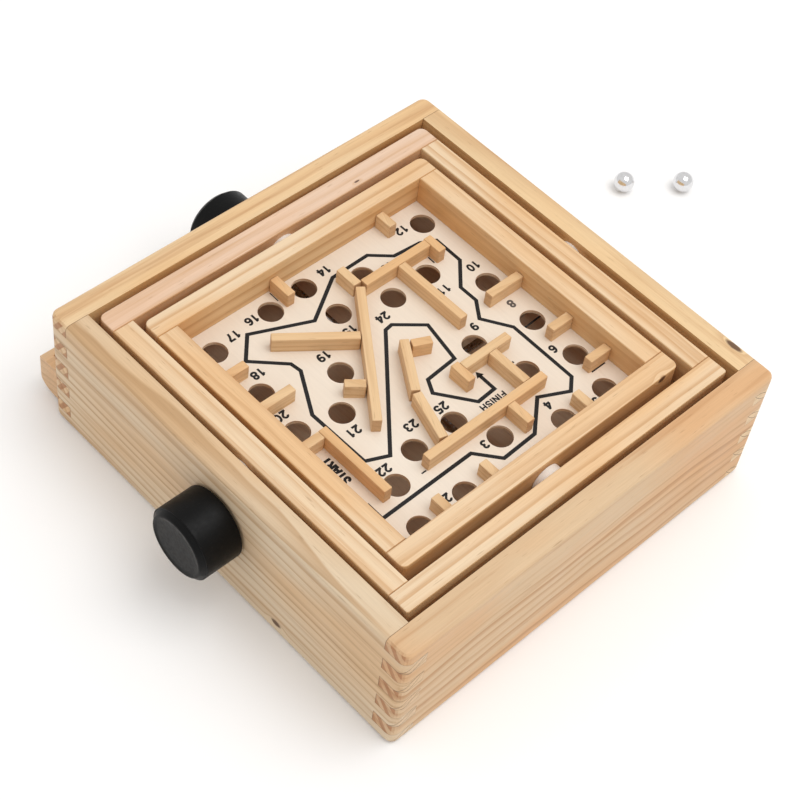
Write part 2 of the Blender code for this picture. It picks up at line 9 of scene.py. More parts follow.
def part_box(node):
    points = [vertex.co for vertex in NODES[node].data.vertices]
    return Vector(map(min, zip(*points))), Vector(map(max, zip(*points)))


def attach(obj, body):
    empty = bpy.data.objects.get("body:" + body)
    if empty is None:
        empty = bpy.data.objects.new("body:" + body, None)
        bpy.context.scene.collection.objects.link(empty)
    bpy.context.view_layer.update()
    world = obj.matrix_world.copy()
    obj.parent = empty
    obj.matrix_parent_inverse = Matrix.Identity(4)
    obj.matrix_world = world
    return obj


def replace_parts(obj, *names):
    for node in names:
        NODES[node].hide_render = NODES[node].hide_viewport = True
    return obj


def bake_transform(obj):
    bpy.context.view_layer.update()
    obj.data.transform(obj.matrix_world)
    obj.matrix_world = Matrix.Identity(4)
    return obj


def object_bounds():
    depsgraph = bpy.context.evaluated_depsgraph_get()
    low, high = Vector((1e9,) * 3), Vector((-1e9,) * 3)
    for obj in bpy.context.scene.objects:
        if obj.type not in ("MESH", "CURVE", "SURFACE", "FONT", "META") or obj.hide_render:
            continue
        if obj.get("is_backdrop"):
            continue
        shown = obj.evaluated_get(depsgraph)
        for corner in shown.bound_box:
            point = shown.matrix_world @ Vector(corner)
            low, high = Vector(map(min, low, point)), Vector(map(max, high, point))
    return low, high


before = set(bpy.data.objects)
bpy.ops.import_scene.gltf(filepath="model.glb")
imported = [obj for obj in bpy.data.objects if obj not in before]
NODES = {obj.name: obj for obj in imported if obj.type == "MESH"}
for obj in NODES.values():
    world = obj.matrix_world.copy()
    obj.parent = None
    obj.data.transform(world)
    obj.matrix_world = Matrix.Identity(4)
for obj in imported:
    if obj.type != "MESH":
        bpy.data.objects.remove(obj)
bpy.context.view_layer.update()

MM = 0.001
scene = bpy.context.scene


def node_middle(name):
    low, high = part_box(name)
    return (low + high) / 2


# ---------------------------------------------------------------- places, all from the frame

LEFT_LOW, LEFT_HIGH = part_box("left_wall")
RIGHT_LOW, RIGHT_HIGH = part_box("right_wall")
BOX_MID = (LEFT_LOW + RIGHT_HIGH) / 2
CX, CY = BOX_MID.x, BOX_MID.y
BOX_TOP = LEFT_HIGH.z
BOX_HALF = (RIGHT_HIGH.x - LEFT_LOW.x) / 2 / MM
SHOULDER = BOX_HALF - (RIGHT_HIGH.x - RIGHT_LOW.x) / MM     # a wall's inner face, from the middle
FINGERS = 10                                                # in the height of each corner
FINGER = BOX_TOP / MM / FINGERS                             # height of one finger
BOARD_LOW, BOARD_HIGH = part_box("maze_board")
BOARD_X, BOARD_Y = (BOARD_LOW.x + BOARD_HIGH.x) / 2, (BOARD_LOW.y + BOARD_HIGH.y) / 2
BOARD_TOP = BOARD_HIGH.z


def on_board(x, y, lift=0.0):
    """A point over the board's face, from its middle, in millimetres."""
    return Vector((BOARD_X + x * MM, BOARD_Y + y * MM, BOARD_TOP + lift * MM))


# ---------------------------------------------------------------- material building

class Graph:
    """A short way to write a material's nodes."""

    def __init__(self, name):
        self.mat = bpy.data.materials.new(name)
        self.mat.use_nodes = True
        self.tree = self.mat.node_tree
        self.shader = self.tree.nodes["Principled BSDF"]

    def node(self, kind, inputs=(), out=0, **settings):
        made = self.tree.nodes.new("ShaderNode" + kind)
        for key, value in settings.items():
            setattr(made, key, value)
        for key, value in dict(inputs).items():
            self.put(made.inputs[key], value)
        return made.outputs[out]

    def put(self, socket, value):
        if isinstance(value, bpy.types.NodeSocket):
            self.tree.links.new(value, socket)
        else:
            socket.default_value = value

    def place(self):
        """The point being shaded, in the object's own space."""
        return self.node("TexCoord", out=3)

    def normal(self):
        return self.node("TexCoord", out=1)

    def math(self, operation, a, b=0.0, c=0.0):
        return self.node("Math", {0: a, 1: b, 2: c}, operation=operation)

    def times(self, first, *others):
        for other in others:
            first = self.math("MULTIPLY", first, other)
        return first

    def vector(self, operation, a, b):
        return self.node("VectorMath", {0: a, 1: b}, operation=operation)

    def length(self, vector):
        return self.node("VectorMath", {0: vector}, out=1, operation="LENGTH")

    def dot(self, a, b):
        return self.node("VectorMath", {0: a, 1: b}, out=1, operation="DOT_PRODUCT")

    def mapped(self, vector, scale=(1, 1, 1), shift=(0, 0, 0), turn=(0, 0, 0)):
        return self.node("Mapping", {"Vector": vector, "Scale": scale, "Location": shift,
                                     "Rotation": turn})

    def split(self, vector):
        made = self.tree.nodes.new("ShaderNodeSeparateXYZ")
        self.tree.links.new(vector, made.inputs[0])
        return made.outputs[0], made.outputs[1], made.outputs[2]

    def noise(self, vector, scale, detail, rough=0.5, shift=(0, 0, 0), turn=(0, 0, 0)):
        """Noise from 0 to 1; `scale` is its waves per metre, alike or along each axis."""
        scale = scale if isinstance(scale, tuple) else (scale,) * 3
        return self.node("TexNoise", {"Vector": self.mapped(vector, scale, shift, turn),
                                      "Scale": 1.0, "Detail": detail, "Roughness": rough})

    def centred(self, vector, scale, detail):
        """Noise about zero."""
        return self.math("SUBTRACT", self.noise(vector, scale, detail), 0.5)

    def ramp(self, value, stops):
        """A curve through (value, grey) stops, with straight lines between them."""
        made = self.tree.nodes.new("ShaderNodeValToRGB")
        elements = made.color_ramp.elements
        while len(elements) < len(stops):
            elements.new(0.5)
        for element, (place, grey) in zip(elements, stops):
            element.position = place
            element.color = (grey, grey, grey, 1.0)
        self.tree.links.new(value, made.inputs[0])
        return made.outputs[0]

    def mix(self, factor, a, b, blend="MIX"):
        made = self.tree.nodes.new("ShaderNodeMix")
        made.data_type = "RGBA"
        made.blend_type = blend
        for socket, value in ((made.inputs[0], factor), (made.inputs[6], a), (made.inputs[7], b)):
            if not isinstance(value, (bpy.types.NodeSocket, float, int)) and len(value) == 3:
                value = (*value, 1.0)
            self.put(socket, value)
        return made.outputs[2]

    def toned(self, colour, tone):
        """A colour made darker or brighter by a number."""
        return self.mix(1.0, colour, self.node("CombineColor", {0: tone, 1: tone, 2: tone}),
                        "MULTIPLY")

    def span(self, value, low, high, to_low=0.0, to_high=1.0):
        """Maps low..high to to_low..to_high, and holds the ends."""
        return self.node("MapRange", {"Value": value, "From Min": low, "From Max": high,
                                      "To Min": to_low, "To Max": to_high})

    def bump(self, height, strength, distance):
        return self.node("Bump", {"Height": height, "Strength": strength, "Distance": distance})

    def finish(self, **values):
        """Fills the shader's inputs, named with _ for a space, and returns the material."""
        for key, value in values.items():
            self.put(self.shader.inputs[key.replace("_", " ")], value)
        return self.mat


def linear(r, g, b):
    """A colour given in display values from 0 to 255."""
    return tuple((v / 255 / 12.92) if v <= 10 else ((v / 255 + 0.055) / 1.055) ** 2.4
                 for v in (r, g, b))


PALE = linear(222, 198, 166)
WARM = linear(226, 184, 140)
LATE = linear(186, 150, 112)
END = linear(206, 166, 126)
KNOT = linear(84, 52, 34)
JOINT = linear(104, 68, 46)


KNOT_SWIRL = 6.0                # how far a knot pushes the rings aside, in millimetres
END_SPECKLE = 0.12
WOOD_ROUGH = 0.5


def knot_marks(g, place, push, knots):
    """Adds each knot's swirl to the rings' push, and returns it with the knots' dark hearts, or
    None. A knot is its middle, from the box's middle and the ground, and its radius, all in
    millimetres, then how many times longer it is along X and along Y."""
    heart = None
    for x, y, z, radius, long_x, long_y in knots:
        near = g.vector("SUBTRACT", place, (CX + x * MM, CY + y * MM, z * MM))
        away = g.length(g.vector("MULTIPLY", near, (1 / long_x, 1 / long_y, 1)))
        swirl = g.span(away, 0.0, radius * 3.0 * MM, 1.0, 0.0)
        push = g.math("ADD", push, g.times(swirl, swirl, KNOT_SWIRL * MM))
        away = g.math("ADD", away, g.times(g.centred(place, 520, 2), radius * 0.35 * MM))
        core = g.span(away, radius * 0.7 * MM, radius * 1.15 * MM, 1.0, 0.0)
        heart = core if heart is None else g.math("MAXIMUM", heart, core)
    return push, heart


def late_rings(g, across, height, push, draw, ring, pith):
    """The dark late wood of growth rings `ring` millimetres apart, some fainter than others."""
    dy = g.math("ADD", across, pith[0] * MM)
    dz = g.math("SUBTRACT", height, pith[1] * MM)
    radius = g.math("ADD", g.math("SQRT", g.math("ADD", g.times(dy, dy), g.times(dz, dz))), push)
    years = g.math("DIVIDE", radius, ring * MM)
    years = g.math("ADD", years, draw.uniform(0, 1))
    along_radius = g.node("CombineXYZ", {0: g.times(radius, 0.55 / (ring * MM)),
                                         1: draw.uniform(0, 40)})
    uneven = g.noise(along_radius, 1, 2)
    years = g.math("ADD", years, g.times(uneven, 1.5))
    dark = g.ramp(g.math("FRACT", years), ((0.0, 0.0), (0.50, 0.04), (0.84, 0.9), (0.92, 1.0),
                                           (0.985, 0.0)))
    strength = g.noise(along_radius, (1.3, 1, 1), 1, shift=(7, 3, 0))
    return g.times(dark, g.span(strength, 0.38, 0.62, 0.35, 1.0))


def wood(node, turn=0.0, seed=0, pale=PALE, warm=WARM, late=LATE, ring=4.4, line=0.8,
         pith=(20, -110), wander=3.0, calm=None, end=END, end_mix=0.6, knots=(), corners=False,
         sides=None, inward=None):
    """Pine whose fibres run along X after a turn about Z (degrees): growth rings about a far pith,
    streaks, pores, end grain on faces across the fibres, knots, and glued finger joints.
    `pith` is the rings' centre, in millimetres: how far it lies towards the turned -Y, and how
    high over the node's middle. `wander` is how far the rings stray, in millimetres, `line` how
    strongly they show, and `calm` the height over the middle above which they fade out. `sides`
    is painted shade: a colour that darkens the upright faces, or only those that face `inward`,
    as if they stood in the box's shade."""
    g = Graph("wood_" + node)
    draw = random.Random(seed * 7919 + 17)
    place, normal = g.place(), g.normal()
    turn = (0, 0, math.radians(turn))
    grain = g.mapped(g.vector("SUBTRACT", place, tuple(node_middle(node))), turn=turn)
    shift = (draw.uniform(-3, 3), draw.uniform(-2, 2), draw.uniform(-2, 2))
    moved = g.vector("ADD", grain, shift)

    # how far the rings are pushed out: a long wave, a shorter one, and the swirl round each knot
    push = g.math("ADD", g.times(g.centred(moved, (6, 16, 16), 1), wander * 2.4 * MM),
                  g.times(g.centred(moved, (26, 45, 45), 1), wander * 0.5 * MM))
    push, heart = knot_marks(g, place, push, knots)
    _, across, height = g.split(grain)
    late_wood = late_rings(g, across, height, push, draw, ring, pith)
    if calm is not None:
        fade = g.span(height, (calm - 4) * MM, (calm + 2) * MM, 1.0, 0.18)
        late_wood = g.times(late_wood, fade)

    # streaks, fibres, pores and broad colour drift
    fibre = g.noise(moved, (60, 1900, 1900), 4, 0.6)
    streak = g.noise(moved, (8, 260, 260), 3, 0.6)
    drift = g.noise(moved, (9, 34, 34), 2)
    pores = g.noise(moved, (150, 1500, 1500), 1)
    colour = g.mix(g.span(drift, 0.42, 0.62), pale, warm)
    colour = g.mix(g.times(late_wood, line), colour, late)
    colour = g.mix(g.span(streak, 0.53, 0.72, 0.0, 0.55), colour, late)
    colour = g.mix(g.span(pores, 0.68, 0.78, 0.0, 0.35), colour, tuple(0.55 * c for c in late))
    colour = g.toned(colour, g.span(fibre, 0.3, 0.7, 0.94, 1.045))

    # painted shade: the upright faces, or only those facing inward, are multiplied by `sides` to darken
    # them as if in the box's shade
    if sides is not None:
        if inward is None:
            painted_shade_mask = g.span(g.math("ABSOLUTE", g.split(normal)[2]), 0.45, 0.8, 1.0, 0.0)
        else:
            painted_shade_mask = g.span(g.dot(normal, inward), 0.5, 0.8)
        colour = g.mix(painted_shade_mask, colour, g.mix(1.0, colour, sides, "MULTIPLY"))

    # end grain on faces across the fibres
    facing = g.math("ABSOLUTE", g.dot(g.mapped(normal, turn=turn), (1, 0, 0)))
    speck = g.noise(place, 1100, 3)
    cut = g.toned(end, g.span(speck, 0.3, 0.7, 1 - END_SPECKLE, 1 + END_SPECKLE))
    cut = g.mix(g.times(late_wood, 0.5), cut, tuple(0.7 * c for c in end))
    ends = g.span(facing, 0.6, 0.9, 0.0, end_mix)
    if corners:
        slants, lines = finger_marks(g, place)
        ends = g.times(ends, slants)
    colour = g.mix(ends, colour, cut)
    if heart is not None:
        colour = g.mix(g.times(heart, 0.9), colour, KNOT)
    if corners:
        colour = g.mix(lines, colour, JOINT)

    relief = g.math("ADD", g.times(fibre, 0.6), g.times(late_wood, 0.4))
    smudge = g.noise(place, 38, 3)
    shine = g.math("ADD", g.span(fibre, 0.3, 0.7, WOOD_ROUGH - 0.05, WOOD_ROUGH + 0.06),
                   g.span(smudge, 0.4, 0.6, -0.05, 0.05))
    return g.finish(Base_Color=colour, Roughness=shine, Normal=g.bump(relief, 0.35, 0.0001),
                    Specular_IOR_Level=0.3)


GLUE_HALF = 0.14                # half a glue line's width, in millimetres
LENS_HALF = 0.032               # half a lens line's width, in parts of a finger
LEVEL_DARK, SHOULDER_DARK, LENS_DARK = 0.3, 0.55, 0.75


def finger_marks(g, place):
    """The box's finger joints: how dark the slanting cuts on the left and right faces stand, and
    the thin glue lines: straight on the top and at the shoulders, lens-shaped on front and back."""
    x, y, z = g.split(g.vector("SUBTRACT", place, (CX, CY, 0)))
    x, y = g.math("ABSOLUTE", x), g.math("ABSOLUTE", y)
    edge = (SHOULDER - GLUE_HALF) * MM
    out_x, out_y = g.math("GREATER_THAN", x, edge), g.math("GREATER_THAN", y, edge)
    rows = g.math("DIVIDE", g.math("MINIMUM", z, (BOX_TOP / MM - 0.1) * MM), FINGER * MM)
    in_row = g.math("FRACT", rows)
    odd = g.math("GREATER_THAN", g.math("FRACT", g.times(rows, 0.5)), 0.5)
    even = g.math("SUBTRACT", 1.0, odd)
    wall = (BOX_HALF - SHOULDER) * MM
    reach_x = g.math("DIVIDE", g.math("SUBTRACT", x, SHOULDER * MM), wall)
    reach_y = g.math("DIVIDE", g.math("SUBTRACT", y, SHOULDER * MM), wall)

    slant = g.math("ADD", g.times(reach_y, 2.0), g.times(in_row, 0.8))
    slants = g.ramp(g.math("FRACT", slant), ((0.0, 0.25), (0.08, 1.0), (0.5, 0.9), (0.6, 0.25)))
    slants = g.math("MAXIMUM", slants, g.math("LESS_THAN", reach_y, 0.0))

    level = g.math("COMPARE", rows, g.math("ROUND", rows), GLUE_HALF / FINGER)
    inside = g.math("COMPARE", rows, FINGERS / 2, (FINGERS - 1) / 2)
    straight = g.times(out_x, out_y, level, inside, LEVEL_DARK)
    at_y = g.math("COMPARE", y, SHOULDER * MM, GLUE_HALF * MM)
    straight = g.math("MAXIMUM", straight, g.times(out_x, at_y, odd, SHOULDER_DARK))
    middle = g.math("SUBTRACT", 1.0, reach_x)
    bulge = g.times(reach_x, middle, 1.15)
    off = g.math("ABSOLUTE", g.math("SUBTRACT", in_row, middle))
    lens = g.times(g.math("COMPARE", off, bulge, LENS_HALF), out_x, out_y, even, LENS_DARK)
    return slants, g.math("MAXIMUM", straight, lens)


def board_material():
    """Printed plywood: a cream face with faint grain showing through, bare ply at the holes."""
    g = Graph("board_face")
    place = g.place()
    fibre = g.noise(place, (900, 40, 900), 4, 0.6)
    cloud = g.noise(place, (18, 9, 18), 2)
    face = g.mix(g.span(cloud, 0.3, 0.7), linear(235, 223, 207), linear(228, 211, 191))
    face = g.toned(face, g.span(fibre, 0.3, 0.7, 0.97, 1.02))
    scuff = g.noise(place, (260, 90, 260), 5, 0.7, shift=(3, 1, 0), turn=(0, 0, 0.6))
    face = g.mix(g.span(scuff, 0.62, 0.78, 0.0, 0.25), face, linear(196, 172, 146))
    up = g.split(g.normal())[2]
    layers = g.noise(place, (60, 60, 2600), 1)
    ply = g.mix(g.span(layers, 0.4, 0.6), linear(238, 214, 184), linear(196, 152, 112))
    colour = g.mix(g.span(up, 0.6, 0.8), ply, face)
    return g.finish(Base_Color=colour, Roughness=g.span(cloud, 0.3, 0.7, 0.38, 0.48),
                    Normal=g.bump(fibre, 0.25, 0.00006))


def ink_material(name, dark, light):
    g = Graph(name)
    grain = g.noise(g.place(), 2500, 3)
    colour = g.mix(g.span(grain, 0.35, 0.7), dark, light)
    return g.finish(Base_Color=colour, Roughness=g.span(grain, 0.3, 0.7, 0.45, 0.6),
                    Normal=g.bump(grain, 0.2, 0.00002), Specular_IOR_Level=0.25)


def plastic_material(name, dark, light, rough, dust=None, sheen=0.5):
    """Moulded plastic: a fine grain, a broad change of tone, and pale flecks of dust if given."""
    g = Graph(name)
    place = g.place()
    grain = g.noise(place, 700, 4)
    broad = g.noise(place, 60, 2)
    colour = g.mix(g.span(broad, 0.3, 0.7), dark, light)
    if dust is not None:
        flecks = g.noise(place, 1300, 3, 0.65)
        colour = g.mix(g.span(flecks, 0.56, 0.78, 0.0, 0.5), colour, dust)
    return g.finish(Base_Color=colour, Roughness=g.span(grain, 0.3, 0.7, rough, rough + 0.12),
                    Normal=g.bump(grain, 0.18, 0.00008), Specular_IOR_Level=sheen)


def metal_material(name, colour, rough, bump=0.1):
    g = Graph(name)
    scratch = g.noise(g.place(), 900, 4)
    tone = g.mix(g.span(scratch, 0.3, 0.7), tuple(0.9 * c for c in colour), colour)
    return g.finish(Base_Color=tone, Metallic=1.0, Normal=g.bump(scratch, bump, 0.00003),
                    Roughness=g.span(scratch, 0.3, 0.7, rough, rough + 0.08))


def cord_material():
    g = Graph("cord")
    twist = g.noise(g.place(), 5000, 2)
    colour = g.mix(g.span(twist, 0.3, 0.7), linear(40, 38, 36), linear(78, 74, 70))
    return g.finish(Base_Color=colour, Roughness=g.span(twist, 0.3, 0.7, 0.7, 0.9),
                    Normal=g.bump(twist, 0.5, 0.0001))


def dress(name, mat):
    """Gives a CAD node its material."""
    data = NODES[name].data
    data.materials.clear()
    data.materials.append(mat)


# ---------------------------------------------------------------- wood on the CAD members

# painted shade: the right wall's wood is tinted greyer to stand for the cool shade on its outer face
SHADE_GREY_PALE, SHADE_GREY_WARM = linear(216, 194, 164), linear(212, 178, 138)
SHADE_GREY_LATE = linear(176, 138, 96)
BACK_PALE, BACK_WARM = linear(212, 182, 145), linear(214, 170, 125)
BACK_LATE = linear(180, 130, 84)
DARK_END = linear(168, 114, 72)
PALE_END = linear(214, 184, 148)
INSIDE_SHADE = linear(248, 234, 210)    # painted shade: what the upright faces inside the box are multiplied by, to darken them
dress("front_wall", wood("front_wall", 0, 1, linear(228, 200, 160), linear(224, 186, 138),
                         BACK_LATE, ring=4.2, pith=(85, -70), wander=3, end=DARK_END, end_mix=0.9,
                         corners=True, sides=INSIDE_SHADE, inward=(0, 1, 0)))
dress("back_wall", wood("back_wall", 0, 2, BACK_PALE, BACK_WARM, BACK_LATE, ring=6.2, line=1.0,
                        wander=8, pith=(24, -105), calm=14, end=DARK_END, end_mix=0.9,
                        corners=True, sides=INSIDE_SHADE, inward=(0, -1, 0)))
dress("right_wall", wood("right_wall", -90, 3, SHADE_GREY_PALE, SHADE_GREY_WARM, SHADE_GREY_LATE, ring=5.0, line=0.95,
                         wander=3, pith=(16, 115), end=PALE_END, corners=True,
                         knots=((97.5, 35.3, 5.9, 1.5, 1, 1.8),), sides=INSIDE_SHADE, inward=(-1, 0, 0)))
dress("left_wall", wood("left_wall", -90, 4, linear(230, 204, 162), linear(226, 192, 146),
                        BACK_LATE, ring=5.2, line=0.5, pith=(16, 115), end=PALE_END, corners=True,
                        knots=((-95.2, 77.8, 59.8, 1.5, 1, 2.8),), sides=INSIDE_SHADE, inward=(1, 0, 0)))
dress("catch_tray", wood("catch_tray", 0, 5, ring=3.4, pith=(-14, -60)))
# painted light: the catch floor is paler than real wood, to brighten the box's inside seen through the
# holes
dress("catch_floor", wood("catch_floor", -90, 6, linear(250, 220, 190), linear(246, 208, 174),
                          linear(228, 186, 148), line=0.4))

FRAME_PALE, FRAME_WARM = linear(228, 202, 168), linear(224, 184, 138)
FRAME_LATE = linear(196, 150, 102)
PINK_PALE, PINK_WARM = linear(224, 196, 172), linear(224, 188, 158)
FRAME_KNOTS = {"inner_frame_back_rail": ((-61.7, 70.5, 58.4, 1.6, 1.3, 1),),
               "outer_frame_front_rail": ((-40, -77, 59.9, 0.5, 3, 1),)}
seed = 10       # the walls, the tray and its floor have the seeds below this
for label in ("outer_frame", "inner_frame"):
    for side, turn in (("front", 0), ("back", 0), ("left", -90), ("right", -90)):
        seed += 1
        name = f"{label}_{side}_rail"
        pale, warm = ((PINK_PALE, PINK_WARM) if name == "outer_frame_front_rail"
                      else (FRAME_PALE, FRAME_WARM))
        dress(name, wood(name, turn, seed, pale, warm, FRAME_LATE, ring=3.6, line=0.7,
                         pith=(64, -52), wander=2.2, sides=INSIDE_SHADE, knots=FRAME_KNOTS.get(name, ())))

STRIP_PALE, STRIP_WARM = linear(224, 190, 146), linear(220, 176, 126)
STRIP_LATE, STRIP_END = linear(196, 152, 104), linear(186, 142, 100)
for name in sorted(n for n in NODES if n.startswith("strip_")):
    seed += 1
    data = NODES[name].data
    # the strip's own direction: its longest horizontal edge
    best = max(data.edges, key=lambda e: (data.vertices[e.vertices[0]].co
                                          - data.vertices[e.vertices[1]].co).xy.length)
    run = data.vertices[best.vertices[1]].co - data.vertices[best.vertices[0]].co
    angle = math.degrees(math.atan2(run.y, run.x))
    dress(name, wood(name, -angle, seed, STRIP_PALE, STRIP_WARM, STRIP_LATE, ring=2.4, line=0.6,
                     pith=(7, -30), wander=1.0, end=STRIP_END))

dress("maze_board", board_material())

NYLON = plastic_material("white_nylon", linear(232, 224, 214), linear(242, 236, 230), 0.4)
for name in ("outer_pivot_left", "outer_pivot_right", "inner_pivot_front", "inner_pivot_back"):
    dress(name, NYLON)
STEEL = metal_material("steel", (0.62, 0.62, 0.64), 0.22)
BRASS = metal_material("brass", (0.78, 0.58, 0.28), 0.28)
CORD = cord_material()
for name in ("right_shaft", "front_shaft"):
    dress(name, STEEL)


# ---------------------------------------------------------------- solids made here

def bmesh_piece(name, bm, mat, angle=60):
    """Turns a bmesh into an object; with an angle, smooth except at edges sharper than that."""
    bmesh.ops.recalc_face_normals(bm, faces=bm.faces)
    if angle is not None:
        for face in bm.faces:
            face.smooth = True
        for edge in bm.edges:
            if len(edge.link_faces) == 2 and edge.calc_face_angle() > math.radians(angle):
                edge.smooth = False
    mesh = bpy.data.meshes.new(name)
    bm.to_mesh(mesh)
    bm.free()
    obj = bpy.data.objects.new(name, mesh)
    scene.collection.objects.link(obj)
    mesh.materials.append(mat)
    return obj


def as_piece(name, bm, mat, body, angle=None):
    """A piece that rides on a body."""
    obj = bmesh_piece(name, bm, mat, angle)
    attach(obj, body)
    return obj


def turned(profile, origin, axis, count=160):
    """A solid of revolution: (distance, radius) pairs along `axis` from `origin`."""
    bm = bmesh.new()
    axis = Vector(axis).normalized()
    side = axis.orthogonal().normalized()
    up = axis.cross(side)
    rings = []
    for along, radius in profile:
        rings.append([bm.verts.new(origin + axis * along
                                   + radius * (math.cos(a) * side + math.sin(a) * up))
                      for a in (2 * math.pi * i / count for i in range(1 if radius == 0 else count))])
    for near, far in zip(rings, rings[1:]):
        for i in range(count):
            j = (i + 1) % count
            if len(near) == 1:
                bm.faces.new((near[0], far[i], far[j]))
            elif len(far) == 1:
                bm.faces.new((near[i], near[j], far[0]))
            else:
                bm.faces.new((near[i], near[j], far[j], far[i]))
    return bm


def rounded(start, corner, end, radius, steps=6):
    """Points that round the corner of a profile, between two straight lines."""
    a, b, c = Vector(start), Vector(corner), Vector(end)
    into, out = (a - b).normalized(), (c - b).normalized()
    points = []
    for n in range(steps + 1):
        t = n / steps
        points.append(tuple(b + into * radius * (1 - t) ** 2 + out * radius * t ** 2))
    return points


def wire(points, radius, sides=10):
    """A round wire or cord through the points, closed at both ends."""
    bm = bmesh.new()
    rings, side = [], None
    for i, p in enumerate(points):
        ahead = (points[min(i + 1, len(points) - 1)] - points[max(i - 1, 0)]).normalized()
        side = side or ahead.orthogonal()
        side = (side - ahead * side.dot(ahead)).normalized()
        up = ahead.cross(side)
        rings.append([bm.verts.new(p + radius * (math.cos(a) * side + math.sin(a) * up))
                      for a in (2 * math.pi * n / sides for n in range(sides))])
    for near, far in zip(rings, rings[1:]):
        for n in range(sides):
            m = (n + 1) % sides
            bm.faces.new((near[n], near[m], far[m], far[n]))
    bm.faces.new(rings[0])
    bm.faces.new(rings[-1])
    return bm


CORD_R = 0.35 * MM
CORD_TURNS = 3
RUN_STEPS = 24
RUN_BEND = 0.2                      # where a run between two frames is cut in two, as a part of its length
EYE_R, EYE_WIRE = 1.6 * MM, 0.4 * MM
EYE_FROM, EYE_ARC = 2, 298          # degrees; the rest of the ring is the eye's gap
EYE_TOP_GAP = 0.05 * MM
SPRING_R, SPRING_WIRE = 1.5 * MM, 0.22 * MM
SPRING_TAIL, SPRING_COILS = 1.2 * MM, 9
HOOK_GAP, HOOK_DROP = 0.1 * MM, 0.25 * MM       # where the cord ends, by the spring's near end
EYE_STEPS = TURN_STEPS = 32
COIL_STEPS = 24


def cord_point(along, a, c, z):
    """A point given along the cord's axis, across it and up."""
    p = Vector((0, 0, z))
    p[along], p[1 - along] = a, c
    return p


def screw_eye(name, along, body):
    """An open eye of brass wire under a rail; returns its ring's middle along, across and up."""
    low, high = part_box(name)
    at = (low + high) / 2
    a, c, z = at[along], at[1 - along], low.z + EYE_WIRE + EYE_R
    path = [cord_point(along, a, c, high.z - EYE_TOP_GAP)]
    for n in range(EYE_STEPS + 1):
        angle = math.radians(EYE_FROM + EYE_ARC * n / EYE_STEPS)
        path.append(cord_point(along, a, c + EYE_R * math.sin(angle), z + EYE_R * math.cos(angle)))
    bm = wire(path, EYE_WIRE, 14)
    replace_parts(as_piece(name + "_wire", bm, BRASS, body, 50), name)
    return a, c, z


def cord_turns(label, along, c0, c1, shaft, body):
    """The cord's turns on the shaft, from one run's side to the other's; returns their two ends."""
    middle = node_middle(shaft)
    turn_r = middle.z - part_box(label + "_cord")[0].z - CORD_R
    path = [cord_point(along, middle[along] + turn_r * math.sin(2 * math.pi * n / TURN_STEPS),
                       c0 + (c1 - c0) * n / (TURN_STEPS * CORD_TURNS),
                       middle.z + turn_r * math.cos(2 * math.pi * n / TURN_STEPS))
            for n in range(TURN_STEPS * CORD_TURNS + 1)]
    winding = as_piece(label + "_cord_turns", wire(path, CORD_R), CORD, body, 60)
    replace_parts(winding, label + "_cord")
    return path[0], path[-1]


def cord_run(label, name, chain, start, end):
    """A straight run of cord, cut into one piece for each step from one body of the chain to the next.
    """
    splits = (0.0, 1.0) if len(chain) == 2 else (0.0, RUN_BEND, 1.0)
    for n, (a, b) in enumerate(zip(chain, chain[1:])):
        p, q = start.lerp(end, splits[n]), start.lerp(end, splits[n + 1])
        bm = wire([p.lerp(q, i / RUN_STEPS) for i in range(RUN_STEPS + 1)], CORD_R)
        piece = bmesh_piece(f"{label}_cord_{name}_run_{n + 1}", bm, CORD)
        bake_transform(piece)
        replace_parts(piece, label + "_cord")


def spring(label, along, c, z, body):
    """The coil spring that keeps the cord tight, with a straight tail at each end."""
    low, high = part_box(label + "_spring")
    near, far = low[along], high[along]
    coiled = far - near - 2 * SPRING_TAIL
    path = [cord_point(along, near + SPRING_WIRE, c, z)]
    path += [cord_point(along, near + SPRING_TAIL + coiled * n / (COIL_STEPS * SPRING_COILS),
                        c + SPRING_R * math.cos(2 * math.pi * n / COIL_STEPS),
                        z + SPRING_R * math.sin(2 * math.pi * n / COIL_STEPS))
             for n in range(COIL_STEPS * SPRING_COILS + 1)]
    path.append(cord_point(along, far - SPRING_WIRE, c, z))
    bm = wire(path, SPRING_WIRE, 8)
    coil = as_piece(label + "_spring_coil", bm, STEEL, body, 60)
    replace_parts(coil, label + "_spring")


def drive(label, along, near, far, shaft, drive_body, chain):
    """A frame's drive: two screw eyes, the cord's turns on the shaft, its two runs, the spring.
    `along` is the axis (0 or 1) the cord runs along, from the near eye to the far one. `chain` is
    the bodies from the case out to the frame."""
    frame_body = chain[-1]
    a0, c0, z0 = screw_eye(near, along, frame_body)
    _, c1, z1 = screw_eye(far, along, frame_body)
    first, last = cord_turns(label, along, c0, c1, shaft, drive_body)
    spring_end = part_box(label + "_spring")[0][along] - HOOK_GAP
    cord_run(label, "near", chain, first, cord_point(along, a0, c0, z0))
    cord_run(label, "far", chain, last, cord_point(along, spring_end, c1, z1 - HOOK_DROP))
    spring(label, along, c1, z1, frame_body)


drive("outer", 1, "outer_eye_front", "outer_eye_back", "right_shaft", "right_drive",
      ("case", "outer_frame"))
drive("inner", 0, "inner_eye_left", "inner_eye_right", "front_shaft", "front_drive",
      ("case", "outer_frame", "inner_frame"))


BLACK = plastic_material("black_plastic", linear(8, 8, 8), linear(12, 12, 12), 0.36,
                         dust=linear(32, 32, 32), sheen=0.13)


KNOB_BORE_R, KNOB_BORE_DEPTH = 1.65 * MM, 13.3 * MM
KNOB_STEP = 2.0 * MM                # the shoulder's height, and how far the face stands in
KNOB_BACK_ROUND, KNOB_FACE_ROUND = 0.9 * MM, 0.5 * MM
KNOB_RIM, KNOB_RIM_ROUND = 0.5 * MM, 0.18 * MM
KNOB_DISH = 0.3 * MM                # how deep the face is dished


